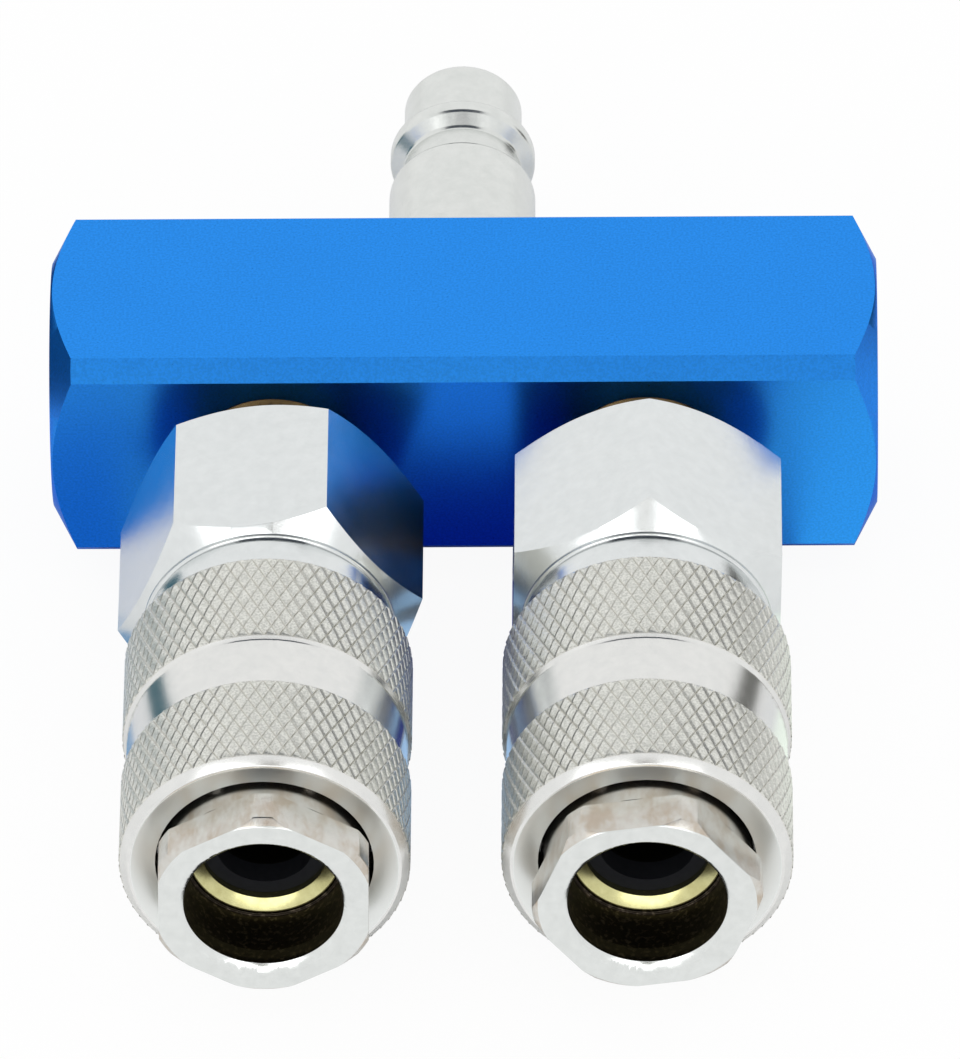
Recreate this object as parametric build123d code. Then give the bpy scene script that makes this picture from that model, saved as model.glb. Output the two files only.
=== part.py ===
from build123d import *
import math
import os

os.makedirs("parts", exist_ok=True)

# Two-way air distributor: an anodised bar with a plug at its back and two push-in couplers in front.
# Millimetres. X runs along the bar, Y towards the back, Z up, with the origin under the bar's middle.

# Bar and its air ways
bar_side = 20.0
bar_length = 65.7
bar_edge_bevel = 1.45
bar_end_flat_d = 19.4
bar_end_cone_angle = 28.0
coupler_spacing = 29.6
port_shift = -0.35
gallery_d = 8.0
gallery_blind_margin = 1.5
passage_d = 7.2
port_d = 13.1
port_depth = 6.4
port_countersink = 0.4
thread_play = 0.05
stub_end_gap = 0.4
stub_lead = 0.6

# Both wrench hexagons
hex_chamfer_angle = 38.5

# Plug that closes the gallery at the right end
gallery_plug_d = 10.0
gallery_plug_length = 5.5
gallery_plug_recess = 0.4
gallery_plug_key_af = 5.0
gallery_plug_key_depth = 3.2

# Inlet plug at the back, measured from the bar's back face
inlet_hex_rise = 0.45
inlet_hex_length = 3.0
inlet_hex_face_inset = 0.15
inlet_shoulder_d = 11.8
inlet_shoulder_length = 10.6
inlet_shoulder_round = 1.1
inlet_neck_d = 9.5
inlet_neck_length = 2.6
inlet_crest_d = 11.7
inlet_crest_taper = 0.9
inlet_crest_width = 1.2
inlet_tip_length = 6.1
inlet_tip_lead = 0.45

# Coupler adapter, measured forward from the bar's front face
neck_gap = 4.5
adapter_socket_wall = 1.7
adapter_hex_rise = 0.7
adapter_hex_length = 15.2
adapter_face_inset = 0.55
sleeve_gap = 4.1
spigot_overlap = 3.7
socket_depth = 10.5
left_adapter_turn = 7.5
right_adapter_turn = 28.5

# Coupler body and nose
mouth_d = 12.4
mouth_chamfer = 0.55
body_wall = 1.85
guide_step = 0.2
guide_setback = 0.1
nose_gap = 1.25
nose_hex_rise = 0.05
nose_hex_length = 3.4
nose_stop_lap = 0.5
nose_front_chamfer = 0.6
chamber_wall = 1.0
chamber_chamfer = 0.5
left_nose_turn = 29.3
right_nose_turn = 8.5
body_seal_thickness = 1.0
body_seal_width = 1.4

# Sleeve
sleeve_wall = 1.42
sleeve_length = 23.85
sleeve_rear_chamfer = 0.4
sleeve_front_chamfer = 0.7
sleeve_rear_band = 9.2
sleeve_groove_width = 5.5
sleeve_groove_depth = 0.35
sleeve_hole_play = 0.4
sleeve_dish_width = 1.9
sleeve_dish_depth = 0.55
sleeve_lip = 1.45
sleeve_land_length = 3.0
sleeve_play = 0.08
sleeve_stop_gap = 0.05

# Locking balls
ball_grip = 0.52
ball_count = 6
ball_play = 0.05
ball_seat_lip = 0.2
ball_seat_depth = 0.4
ball_cover = 1.4
ball_rest_gap = 0.15

# Valve bush and its seals
valve_play = 0.08
valve_length = 15.0
valve_rim_width = 1.02
valve_mouth_depth = 0.6
valve_mouth_rim = 0.08
valve_lip = 0.65
valve_wall = 2.12
tip_seal_width = 2.0
tip_seal_depth = 0.4
valve_flange_width = 1.0
valve_flange_play = 0.25
valve_seat_gap = 0.05
valve_groove_setback = 1.0
valve_groove_width = 1.6
valve_groove_depth = 1.0
valve_port_d = 3.0
valve_port_count = 4
valve_port_setback = 0.6
seal_play = 0.03

# Springs, square wire
sleeve_spring_wire = 1.0
sleeve_spring_turns = 4.0
valve_spring_wire = 0.9
valve_spring_turns = 4.0
valve_spring_inset = 0.5
spring_end_gap = 0.05
washer_thickness = 0.6
washer_play = 0.12

# Values worked out from the above
axis_height = bar_side / 2
front_face = -bar_side / 2
back_face = bar_side / 2
stub_r = port_d / 2 - thread_play
stub_length = port_depth - stub_end_gap

# From the mouth outwards each ring carries the next.
mouth_r = mouth_d / 2
guide_r = mouth_r - guide_step
valve_r = guide_r - valve_play
body_r = mouth_r + body_wall
chamber_r = body_r - chamber_wall
land_r = body_r + sleeve_play
socket_r = body_r + thread_play
neck_r = socket_r + adapter_socket_wall
adapter_hex_af = 2 * (neck_r + adapter_hex_rise)
sleeve_bore_r = neck_r + sleeve_play
sleeve_r = sleeve_bore_r + sleeve_wall
sleeve_hole_r = body_r + sleeve_hole_play
nose_hex_af = 2 * (body_r + nose_hex_rise)
nose_corner_r = sleeve_hole_r + nose_stop_lap
inlet_hex_af = port_d + 2 * inlet_hex_rise

# Held in by the sleeve's land, a ball stands into the guide bore by its grip.
ball_r = (land_r - ball_play - guide_r + ball_grip) / 2

ball_out_r = valve_r + ball_rest_gap + ball_r
ball_in_r = land_r - ball_play - ball_r
ball_drop = ball_out_r - ball_in_r
ball_reach = ball_r + ball_play

# The sleeve's dished front stops against the nose's corners.
stop_depth = sleeve_dish_depth * (1 - nose_stop_lap / sleeve_dish_width)
sleeve_travel = nose_gap + stop_depth - sleeve_stop_gap

hex_end = neck_gap + adapter_hex_length
sleeve_rear = hex_end + sleeve_gap
sleeve_front = sleeve_rear + sleeve_length
nose_rear = sleeve_front + nose_gap
nose_front = nose_rear + nose_hex_length
spigot_end = sleeve_rear + spigot_overlap
socket_floor = spigot_end - socket_depth
body_rear = socket_floor + body_seal_thickness

# The groove's front wall leans at 45 degrees and lies against the ball when it is out.
groove_wall_sum = ball_out_r + ball_reach * math.sqrt(2)
hole_front = sleeve_front - sleeve_dish_depth
groove_hole_edge = hole_front - sleeve_lip
ball_station = groove_hole_edge + sleeve_hole_r - groove_wall_sum
groove_r = ball_out_r + ball_reach + ball_play
groove_front = ball_station + groove_wall_sum - groove_r

# The ramp is the ball's own path as the sleeve moves forward, offset by the ball.
ramp_slope = ball_drop / sleeve_travel
ramp_angle = math.atan(ramp_slope)
ramp_base_station = ball_station - sleeve_travel - ball_reach * math.sin(ramp_angle)
ramp_base_r = ball_in_r + ball_reach * math.cos(ramp_angle)
ramp_rear = ramp_base_station + (land_r - ramp_base_r) / ramp_slope
ramp_front = ramp_base_station + (groove_r - ramp_base_r) / ramp_slope
land_rear = ramp_rear - sleeve_land_length

valve_front = ball_station + ball_cover
guide_end = valve_front + guide_setback
valve_rear = valve_front - valve_length
valve_mouth_r = valve_r - valve_rim_width
valve_bore_r = valve_r - valve_wall
tip_seal_front = valve_front - valve_mouth_depth - valve_lip
tip_seal_rear = tip_seal_front - tip_seal_width
tip_seal_r = valve_mouth_r + tip_seal_depth
flange_front = valve_rear + valve_flange_width
chamber_front = flange_front + valve_seat_gap
valve_flange_r = chamber_r - valve_flange_play
seal_groove_rear = flange_front + valve_groove_setback
seal_groove_front = seal_groove_rear + valve_groove_width
valve_groove_r = valve_r - valve_groove_depth
valve_port_station = seal_groove_front + valve_port_setback + valve_port_d / 2

inlet_shoulder_end = inlet_hex_length + inlet_shoulder_length
inlet_neck_end = inlet_shoulder_end + inlet_neck_length
inlet_crest_rear = inlet_neck_end + inlet_crest_taper
inlet_crest_front = inlet_crest_rear + inlet_crest_width
inlet_end = inlet_crest_front + inlet_tip_length

# How far a plug pushes the valve back before the balls drop behind its crest
crest_chord = math.sqrt(max(ball_r**2 - (ball_in_r - inlet_crest_d / 2) ** 2, 0))
locked_tip = ball_station - crest_chord - inlet_crest_width - inlet_tip_length
valve_travel = tip_seal_front - locked_tip


def turned(*stations):
    """A ring or disc turned about Z from (radius, height) corners."""
    return revolve(make_face(Plane.XZ * Polyline(*stations, close=True)), Axis.Z)


def rod(diameter, start, end):
    """A round bar along Z."""
    standing = (Align.CENTER, Align.CENTER, Align.MIN)
    return Pos(0, 0, start) * Cylinder(diameter / 2, end - start, align=standing)


def hex_rod(across_flats, start, end, turn):
    """A hexagonal bar along Z, turned by an angle in degrees."""
    outline = RegularPolygon(across_flats / 2, 6, major_radius=False, rotation=turn)
    return Pos(0, 0, start) * extrude(outline, end - start)


def end_cones(across_flats, start, end, face_inset):
    """The double cone that turns the corners off both ends of a hexagonal bar."""
    reach = across_flats / math.sqrt(3)
    face_r = across_flats / 2 - face_inset
    drop = (reach - face_r) * math.tan(math.radians(hex_chamfer_angle))
    return turned(
        (0, start),
        (face_r, start),
        (reach, start + drop),
        (reach, end - drop),
        (face_r, end),
        (0, end),
    )


def square_spring(inner_r, wire, start, end, turns):
    """A helical compression spring of square wire, with its wire's outer edges between two faces."""
    path = Helix(pitch=(end - start - wire) / turns, height=end - start - wire, radius=inner_r + wire / 2)
    path = Pos(0, 0, start + wire / 2) * path
    section = Plane(path @ 0, x_dir=(1, 0, 0), z_dir=path % 0) * Rectangle(wire, wire)
    return sweep(section, path, is_frenet=True)


def make_bar():
    """Square bar with bevelled edges, coned ends, the gallery and its three ports."""
    section = chamfer(Rectangle(bar_side, bar_side).vertices(), bar_edge_bevel)
    along = Plane(origin=(-bar_length / 2, 0, axis_height), x_dir=(0, 1, 0), z_dir=(1, 0, 0))
    bar = along * extrude(section, bar_length)
    flat_r = bar_end_flat_d / 2
    corner_drop = (bar_side - flat_r) * math.tan(math.radians(bar_end_cone_angle))
    cones = turned(
        (0, 0),
        (flat_r, 0),
        (bar_side, corner_drop),
        (bar_side, bar_length - corner_drop),
        (flat_r, bar_length),
        (0, bar_length),
    )
    bar &= along * cones

    blind_end = bar_length / 2 + port_shift - coupler_spacing / 2 - gallery_d / 2 - gallery_blind_margin
    bar -= along * rod(gallery_d, blind_end, bar_length)
    bar -= along * rod(gallery_plug_d, bar_length - gallery_plug_recess - gallery_plug_length, bar_length)
    for plane in (coupler_plane(-1), coupler_plane(1), inlet_plane()):
        port = rod(port_d, -port_depth, 0) + rod(passage_d, -bar_side / 2, 0)
        port += turned(
            (0, 0),
            (port_d / 2 + port_countersink, 0),
            (port_d / 2, -port_countersink),
            (0, -port_countersink),
        )
        bar -= plane * port
    return bar


def make_gallery_plug():
    """Threaded plug with a hexagon socket, a little below the bar's end."""
    along = Plane(origin=(bar_length / 2, 0, axis_height), x_dir=(0, 1, 0), z_dir=(1, 0, 0))
    top = -gallery_plug_recess
    plug = rod(gallery_plug_d - 2 * thread_play, top - gallery_plug_length, top)
    plug -= hex_rod(gallery_plug_key_af, top - gallery_plug_key_depth, top, 0)
    return along * plug


def threaded_stub():
    """The plain form of a male thread that screws into a port."""
    return turned(
        (0, -stub_length),
        (stub_r - stub_lead, -stub_length),
        (stub_r, -stub_length + stub_lead),
        (stub_r, neck_gap),
        (0, neck_gap),
    )


def make_inlet_plug():
    """Quick-coupling plug: stub, wrench hexagon, shoulder, neck, crest and tip, bored through."""
    neck_plug_r = inlet_neck_d / 2
    crest_r = inlet_crest_d / 2
    shoulder_r = inlet_shoulder_d / 2
    plug = threaded_stub() & rod(bar_side, -stub_length, 0)
    hexagon = hex_rod(inlet_hex_af, 0, inlet_hex_length, 0)
    plug += hexagon & end_cones(inlet_hex_af, 0, inlet_hex_length, inlet_hex_face_inset)
    shoulder = rod(inlet_shoulder_d, inlet_hex_length, inlet_shoulder_end)
    front_edge = shoulder.edges().filter_by(GeomType.CIRCLE).sort_by(Axis.Z)[-1]
    plug += fillet(front_edge, min(inlet_shoulder_round, shoulder_r - neck_plug_r))
    plug += turned(
        (0, inlet_shoulder_end),
        (neck_plug_r, inlet_shoulder_end),
        (neck_plug_r, inlet_neck_end),
        (crest_r, inlet_crest_rear),
        (crest_r, inlet_crest_front),
        (neck_plug_r, inlet_crest_front),
        (neck_plug_r, inlet_end - inlet_tip_lead),
        (neck_plug_r - inlet_tip_lead, inlet_end),
        (0, inlet_end),
    )
    return plug - rod(passage_d, -stub_length, inlet_end)


def make_adapter(turn):
    """Hexagonal adapter: stub, chamfered hexagon, smooth neck and the socket for the coupler body."""
    adapter = threaded_stub()
    hexagon = hex_rod(adapter_hex_af, neck_gap, hex_end, turn)
    adapter += hexagon & end_cones(adapter_hex_af, neck_gap, hex_end, adapter_face_inset)
    adapter += rod(2 * neck_r, hex_end, spigot_end)
    adapter -= rod(2 * socket_r, socket_floor, spigot_end)
    return adapter - rod(passage_d, -stub_length, socket_floor)


def make_body_seal():
    """Flat gasket between the socket's floor and the body's rear end."""
    inner_r = body_r - body_seal_width
    return turned(
        (inner_r, socket_floor),
        (body_r, socket_floor),
        (body_r, body_rear),
        (inner_r, body_rear),
    )


def ball_angle(index):
    """The turn of a ball about the coupler's axis, in degrees."""
    return 360 * index / ball_count


def make_body(turn):
    """Coupler body: tube with a truncated hexagonal nose, the ball pockets and the valve chamber."""
    nose = hex_rod(nose_hex_af, nose_rear, nose_front, turn) & turned(
        (0, nose_rear),
        (nose_corner_r, nose_rear),
        (nose_corner_r, nose_front - nose_front_chamfer),
        (nose_corner_r - nose_front_chamfer, nose_front),
        (0, nose_front),
    )
    body = rod(2 * body_r, body_rear, nose_rear) + nose
    body -= turned(
        (0, body_rear),
        (chamber_r, body_rear),
        (chamber_r, chamber_front),
        (guide_r + chamber_chamfer, chamber_front),
        (guide_r, chamber_front + chamber_chamfer),
        (guide_r, guide_end),
        (mouth_r, guide_end),
        (mouth_r, nose_front - mouth_chamfer),
        (mouth_r + mouth_chamfer, nose_front),
        (0, nose_front),
    )
    pocket = turned(
        (0, 0),
        (ball_r - ball_seat_lip, 0),
        (ball_r - ball_seat_lip, guide_r),
        (ball_reach, guide_r + ball_seat_depth),
        (ball_reach, 2 * body_r),
        (0, 2 * body_r),
    )
    for index in range(ball_count):
        body -= Pos(0, 0, ball_station) * Rot(0, 0, ball_angle(index)) * Rot(0, 90, 0) * pocket
    return body


def make_sleeve():
    """Locking sleeve: two bands with a groove between, and inside the bore, land, ramp and ball groove."""
    band_end = sleeve_rear + sleeve_rear_band
    waist_r = sleeve_r - sleeve_groove_depth
    return turned(
        (sleeve_bore_r, sleeve_rear),
        (sleeve_r - sleeve_rear_chamfer, sleeve_rear),
        (sleeve_r, sleeve_rear + sleeve_rear_chamfer),
        (sleeve_r, band_end),
        (waist_r, band_end + sleeve_groove_depth),
        (waist_r, band_end + sleeve_groove_width - sleeve_groove_depth),
        (sleeve_r, band_end + sleeve_groove_width),
        (sleeve_r, sleeve_front - sleeve_front_chamfer),
        (sleeve_r - sleeve_front_chamfer, sleeve_front),
        (sleeve_hole_r + sleeve_dish_width, sleeve_front),
        (sleeve_hole_r, hole_front),
        (sleeve_hole_r, groove_hole_edge),
        (groove_r, groove_front),
        (groove_r, ramp_front),
        (land_r, ramp_rear),
        (land_r, land_rear),
        (sleeve_bore_r, land_rear),
    )


def make_spring_washer():
    """Thin ring that carries the spring's thrust and lets the sleeve turn freely."""
    inner_r = body_r + washer_play
    outer_r = sleeve_bore_r - washer_play
    front = land_rear - spring_end_gap
    rear = front - washer_thickness
    return turned((inner_r, rear), (outer_r, rear), (outer_r, front), (inner_r, front))


def make_sleeve_spring():
    """Spring between the adapter's spigot and the washer."""
    inner_r = (body_r + sleeve_bore_r - sleeve_spring_wire) / 2
    end = land_rear - spring_end_gap - washer_thickness - spring_end_gap
    return square_spring(inner_r, sleeve_spring_wire, spigot_end + spring_end_gap, end, sleeve_spring_turns)


def make_valve():
    """Brass valve bush: coned mouth, seal recess, side ports, seal groove and rear flange."""
    valve = turned(
        (0, valve_rear),
        (valve_flange_r, valve_rear),
        (valve_flange_r, flange_front),
        (valve_r, flange_front),
        (valve_r, seal_groove_rear),
        (valve_groove_r, seal_groove_rear),
        (valve_groove_r, seal_groove_front),
        (valve_r, seal_groove_front),
        (valve_r, valve_front),
        (valve_r - valve_mouth_rim, valve_front),
        (valve_mouth_r, valve_front - valve_mouth_depth),
        (valve_mouth_r, tip_seal_front),
        (tip_seal_r, tip_seal_front),
        (tip_seal_r, tip_seal_rear),
        (valve_bore_r, tip_seal_rear),
        (valve_bore_r, seal_groove_front),
        (0, seal_groove_front),
    )
    side_port = rod(valve_port_d, 0, 2 * valve_r)
    for index in range(valve_port_count):
        turn = 360 * index / valve_port_count
        valve -= Pos(0, 0, valve_port_station) * Rot(0, 0, turn) * Rot(0, 90, 0) * side_port
    return valve


def make_tip_seal():
    """Rubber ring inside the valve's mouth that the plug's tip presses on."""
    outer_r = tip_seal_r - seal_play
    return turned(
        (valve_bore_r, tip_seal_rear),
        (outer_r, tip_seal_rear),
        (outer_r, tip_seal_front),
        (valve_bore_r, tip_seal_front),
    )


def make_valve_seal():
    """Rubber ring in the valve's groove that runs in the guide bore."""
    outer_r = guide_r - seal_play
    return turned(
        (valve_groove_r, seal_groove_rear),
        (outer_r, seal_groove_rear),
        (outer_r, seal_groove_front),
        (valve_groove_r, seal_groove_front),
    )


def make_valve_spring():
    """Spring between the socket's floor and the valve's rear face."""
    inner_r = body_r - body_seal_width - valve_spring_inset - valve_spring_wire
    start = socket_floor + spring_end_gap
    return square_spring(inner_r, valve_spring_wire, start, valve_rear - spring_end_gap, valve_spring_turns)


def make_ball(index):
    """A locking ball at rest, held out by the valve."""
    turn = math.radians(ball_angle(index))
    return Pos(ball_out_r * math.cos(turn), ball_out_r * math.sin(turn), ball_station) * Sphere(ball_r)


def coupler_plane(side):
    """The bar's front face at a coupler, Z pointing forward; side is -1 on the left and 1 on the right."""
    origin = (port_shift + side * coupler_spacing / 2, front_face, axis_height)
    return Plane(origin=origin, x_dir=(1, 0, 0), z_dir=(0, -1, 0))


def inlet_plane():
    """The bar's back face at the inlet, Z pointing back."""
    return Plane(origin=(port_shift, back_face, axis_height), x_dir=(1, 0, 0), z_dir=(0, 1, 0))


def make_parts():
    """Every node of the distributor, by name."""
    parts = {
        "manifold_bar": make_bar(),
        "gallery_plug": make_gallery_plug(),
        "inlet_plug": inlet_plane() * make_inlet_plug(),
    }
    sides = (
        ("left", -1, left_adapter_turn, left_nose_turn),
        ("right", 1, right_adapter_turn, right_nose_turn),
    )
    for name, side, adapter_turn, nose_turn in sides:
        plane = coupler_plane(side)
        pieces = {
            "adapter": make_adapter(adapter_turn),
            "body_seal": make_body_seal(),
            "coupler_body": make_body(nose_turn),
            "sleeve": make_sleeve(),
            "spring_washer": make_spring_washer(),
            "sleeve_spring": make_sleeve_spring(),
            "valve": make_valve(),
            "tip_seal": make_tip_seal(),
            "valve_seal": make_valve_seal(),
            "valve_spring": make_valve_spring(),
        }
        for index in range(ball_count):
            pieces[f"ball_{index + 1}"] = make_ball(index)
        for piece, shape in pieces.items():
            parts[f"{name}_{piece}"] = plane * shape
    return parts


if __name__ == "__main__":
    for node, shape in make_parts().items():
        export_step(shape, f"parts/{node}.step")
    print(f"ball radius {ball_r:.3f}, station {ball_station:.3f}, out {ball_out_r:.3f}, in {ball_in_r:.3f}")
    print(f"sleeve travel {sleeve_travel:.3f}, valve travel {valve_travel:.3f}, front {valve_front:.3f}")
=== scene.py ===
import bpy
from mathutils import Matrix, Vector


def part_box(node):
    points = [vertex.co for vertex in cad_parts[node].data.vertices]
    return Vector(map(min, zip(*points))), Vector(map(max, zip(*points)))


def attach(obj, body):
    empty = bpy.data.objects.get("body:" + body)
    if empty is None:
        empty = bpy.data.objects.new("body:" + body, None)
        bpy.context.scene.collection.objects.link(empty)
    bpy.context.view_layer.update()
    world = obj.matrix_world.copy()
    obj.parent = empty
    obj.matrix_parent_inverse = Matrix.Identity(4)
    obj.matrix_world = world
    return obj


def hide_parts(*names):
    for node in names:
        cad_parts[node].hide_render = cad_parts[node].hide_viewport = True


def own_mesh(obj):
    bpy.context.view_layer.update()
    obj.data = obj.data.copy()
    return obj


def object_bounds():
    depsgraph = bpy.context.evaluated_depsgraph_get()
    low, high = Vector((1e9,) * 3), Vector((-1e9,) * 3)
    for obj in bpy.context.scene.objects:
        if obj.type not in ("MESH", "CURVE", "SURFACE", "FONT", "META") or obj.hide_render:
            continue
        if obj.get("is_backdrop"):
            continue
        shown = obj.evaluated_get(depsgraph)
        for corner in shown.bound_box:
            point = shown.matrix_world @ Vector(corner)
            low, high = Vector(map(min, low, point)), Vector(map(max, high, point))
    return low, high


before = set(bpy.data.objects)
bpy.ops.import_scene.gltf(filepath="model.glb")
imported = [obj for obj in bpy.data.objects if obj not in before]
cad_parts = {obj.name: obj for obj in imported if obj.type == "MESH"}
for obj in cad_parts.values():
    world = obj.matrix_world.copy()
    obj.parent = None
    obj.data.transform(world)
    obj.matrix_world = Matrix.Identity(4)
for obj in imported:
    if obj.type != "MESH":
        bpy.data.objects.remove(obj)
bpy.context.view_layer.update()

import math

import bmesh
import bpy
from mathutils import Matrix, Vector

bl_info = {
    "name": "Two-way air distributor",
    "version": (1, 0, 0),
    "blender": (4, 5, 0),
    "location": "3D View > Sidebar > Distributor",
    "description": "Models and finishes the visible pieces of a two-way compressed air distributor",
    "category": "Object",
}

MM = 0.001
FULL_TURN = 2 * math.pi
SIDES = ("left", "right")

# How far apart two points may be and still be one
MERGE_DISTANCE = 0.002 * MM

# How far a cutting form reaches past a surface, and a joined form into the other
PAST = 1 * MM

# How far a covering material reaches past the edge where it ends
MARGIN = 0.1 * MM

# How far each adapter's hexagon is turned about its axis
HEXAGON_TURNS = {"left": math.radians(7.5), "right": math.radians(28.5)}

# Edges that bend more than the first angle are broken, and more than the second are shaded crisp
BREAK_ANGLE, CRISP_ANGLE = math.radians(28), math.radians(40)

# The solids' own corners give the pieces their places.
bar_low, bar_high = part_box("manifold_bar")
plug_low, plug_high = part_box("inlet_plug")
AXIS_HEIGHT = (bar_low.z + bar_high.z) / 2
INLET_X = (plug_low.x + plug_high.x) / 2


def coupler_x(side):
    """The X of a coupler's axis."""
    low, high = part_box(f"{side}_sleeve")
    return (low.x + high.x) / 2


def radius_of(node):
    """Half the width of a round node."""
    low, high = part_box(node)
    return (high.x - low.x) / 2


def forward(node):
    """The two ends of a node, measured forward from the bar's front face."""
    low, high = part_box(node)
    return bar_low.y - high.y, bar_low.y - low.y


# Sizes that a user may change

def length(name, description, millimetres):
    """A length, given in millimetres and kept in metres."""
    return bpy.props.FloatProperty(
        name=name, description=description, default=millimetres * MM, unit="LENGTH")


def angle(name, description, degrees):
    """An angle, given in degrees."""
    return bpy.props.FloatProperty(
        name=name, description=description, default=math.radians(degrees), subtype="ANGLE")


def count(name, description, default, least):
    """A whole number."""
    return bpy.props.IntProperty(name=name, description=description, default=default, min=least)


class BarSizes(bpy.types.PropertyGroup):
    edge_bevel: length("Edge bevel", "Width that the four long edges lose on each side", 1.45)
    end_flat: length("End flat", "Diameter of the flat disc that the end cones leave", 19.4)
    cone_angle: angle("End cone", "Lean of the turned cones at both ends", 28)
    port: length("Port", "Diameter of the three threaded ports", 13.1)
    port_depth: length("Port depth", "Depth of the threaded ports", 6.4)
    passage: length("Air way", "Diameter of the passages below the ports", 7.2)
    gallery: length("Gallery", "Diameter of the long bore that joins the ports", 8)
    plug: length("Gallery plug", "Diameter of the plug that closes the gallery", 10)
    plug_key: length("Plug key", "Width across the flats of the plug's hexagon socket", 5)
    softening: length("Softened edge", "Width of the light break on every edge", 0.14)
    blue: bpy.props.FloatVectorProperty(
        name="Anodising", description="Colour of the dyed anodised surface", subtype="COLOR",
        size=3, default=(0.016, 0.262, 0.83))


class PlugSizes(bpy.types.PropertyGroup):
    hexagon: length("Hexagon", "Width across the flats of the wrench hexagon", 14)
    hexagon_length: length("Hexagon length", "Thickness of the wrench hexagon", 3)
    shoulder: length("Shoulder", "Diameter of the round shoulder", 11.8)
    shoulder_length: length("Shoulder length", "Length of the round shoulder", 10.6)
    neck: length("Neck and tip", "Diameter of the neck and of the sealing tip", 9.5)
    neck_length: length("Neck length", "Length of the waist behind the crest", 2.6)
    crest: length("Crest", "Diameter of the crest that the balls lock behind", 11.7)
    crest_taper: length("Crest taper", "Length of the cone from the neck up to the crest", 0.9)
    crest_width: length("Crest width", "Length of the crest", 1.2)
    tip_length: length("Tip length", "Length of the sealing tip", 6.1)
    bore: length("Bore", "Diameter of the air way", 7.2)


class AdapterSizes(bpy.types.PropertyGroup):
    hexagon: length("Hexagon", "Width across the flats", 21)
    gap: length("Gap", "Thread that shows between bar and hexagon", 4.5)
    hexagon_length: length("Hexagon length", "Length of the hexagon", 15.2)
    face_inset: length("Face inset", "How far the end faces lie inside the flats", 0.55)
    chamfer_angle: angle("Chamfer", "Lean of the turned chamfers on the hexagon's corners", 38.5)
    neck: length("Neck", "Diameter of the smooth neck", 19.6)
    neck_end: length("Neck end", "Where the neck ends, forward of the bar's face", 27.5)
    socket: length("Socket", "Diameter of the socket that takes the coupler body", 16.2)
    socket_floor: length("Socket floor", "Where the socket ends, forward of the bar's face", 17)
    thread: length("Thread", "Outer diameter of the pipe thread", 13)
    thread_pitch: length("Thread pitch", "Distance from crest to crest", 1.337)


class SleeveSizes(bpy.types.PropertyGroup):
    knurl_columns: count("Knurl columns", "Diamonds round the sleeve", 64, least=24)
    knurl_rows: count("Knurl rows", "Diamonds along a band", 4, least=2)
    knurl_depth: length("Knurl depth", "Depth of the knurl's grooves", 0.12)
    knurl_groove: length("Knurl groove", "Half the width of a groove at the top", 0.15)
    knurl_skew: length("Knurl skew", "How far the diamonds are drawn out along one set of grooves", 0.05)
    rear_band: length("Rear band", "Length of the rear knurled band", 9.2)
    waist_width: length("Waist", "Width of the plain groove between the bands", 5.5)
    waist_depth: length("Waist depth", "Depth of the plain groove", 0.35)
    rear_chamfer: length("Rear chamfer", "Chamfer at the rear end", 0.4)
    front_chamfer: length("Front chamfer", "Chamfer at the front end", 0.7)
    hole: length("Hole", "Diameter of the front hole", 16.9)
    dish_width: length("Dish width", "Width of the dished ring round the front hole", 1.9)
    dish_depth: length("Dish depth", "Depth of the dished ring", 0.55)
    lip: length("Lip", "Width of the front hole's plain wall", 1.45)
    ball_groove: length("Ball groove", "Diameter of the groove that the balls rest in", 17.54)
    ramp_front: length("Ramp front", "Where the ramp for the balls starts, behind the front end", 2.93)
    ramp_rear: length("Ramp rear", "Where the ramp ends, behind the front end", 4.67)
    land_rear: length("Land rear", "Where the land ends, behind the front end", 7.67)
    bore: length("Bore", "Diameter of the rear bore", 19.76)
    land: length("Land", "Diameter of the land that presses the balls in", 16.26)


class BodySizes(bpy.types.PropertyGroup):
    valve_travel: length("Valve travel", "How far an inserted plug pushes the valve back", 8.358)
    sleeve_travel: length("Sleeve travel", "How far a sleeve slides forward", 1.605)
    diameter: length("Diameter", "Outer diameter of the tube", 16.1)
    nose_hexagon: length("Nose hexagon", "Width across the flats of the nose", 16.2)
    nose_corners: length("Nose corners", "Diameter that the nose's corners are turned down to", 17.9)
    nose_length: length("Nose length", "Length of the nose", 3.4)
    nose_chamfer: length("Nose chamfer", "Chamfer at the nose's front", 0.6)
    mouth: length("Mouth", "Diameter of the mouth", 12.4)
    mouth_chamfer: length("Mouth chamfer", "Chamfer at the mouth", 0.55)
    guide: length("Guide bore", "Diameter of the bore that the valve slides in", 12)
    chamber: length("Chamber", "Diameter of the spring's chamber", 14.1)
    pocket: length("Ball pocket", "Diameter of the radial pockets for the balls", 2.7)
    balls: count("Balls", "Balls round the coupler", 6, least=3)
    left_turn: angle("Left turn", "How far the left nose is turned", 29.3)
    right_turn: angle("Right turn", "How far the right nose is turned", 8.5)


class ValveSizes(bpy.types.PropertyGroup):
    diameter: length("Diameter", "Outer diameter of the bush", 11.84)
    mouth: length("Mouth", "Diameter of the mouth behind its cone", 9.8)
    mouth_depth: length("Mouth depth", "Length of the mouth's cone", 0.6)
    bore: length("Bore", "Diameter of the air way", 7.6)
    side_port: length("Side port", "Diameter of the air holes in the wall", 3)
    side_ports: count("Side ports", "Air holes round the wall", 4, least=2)


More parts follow.
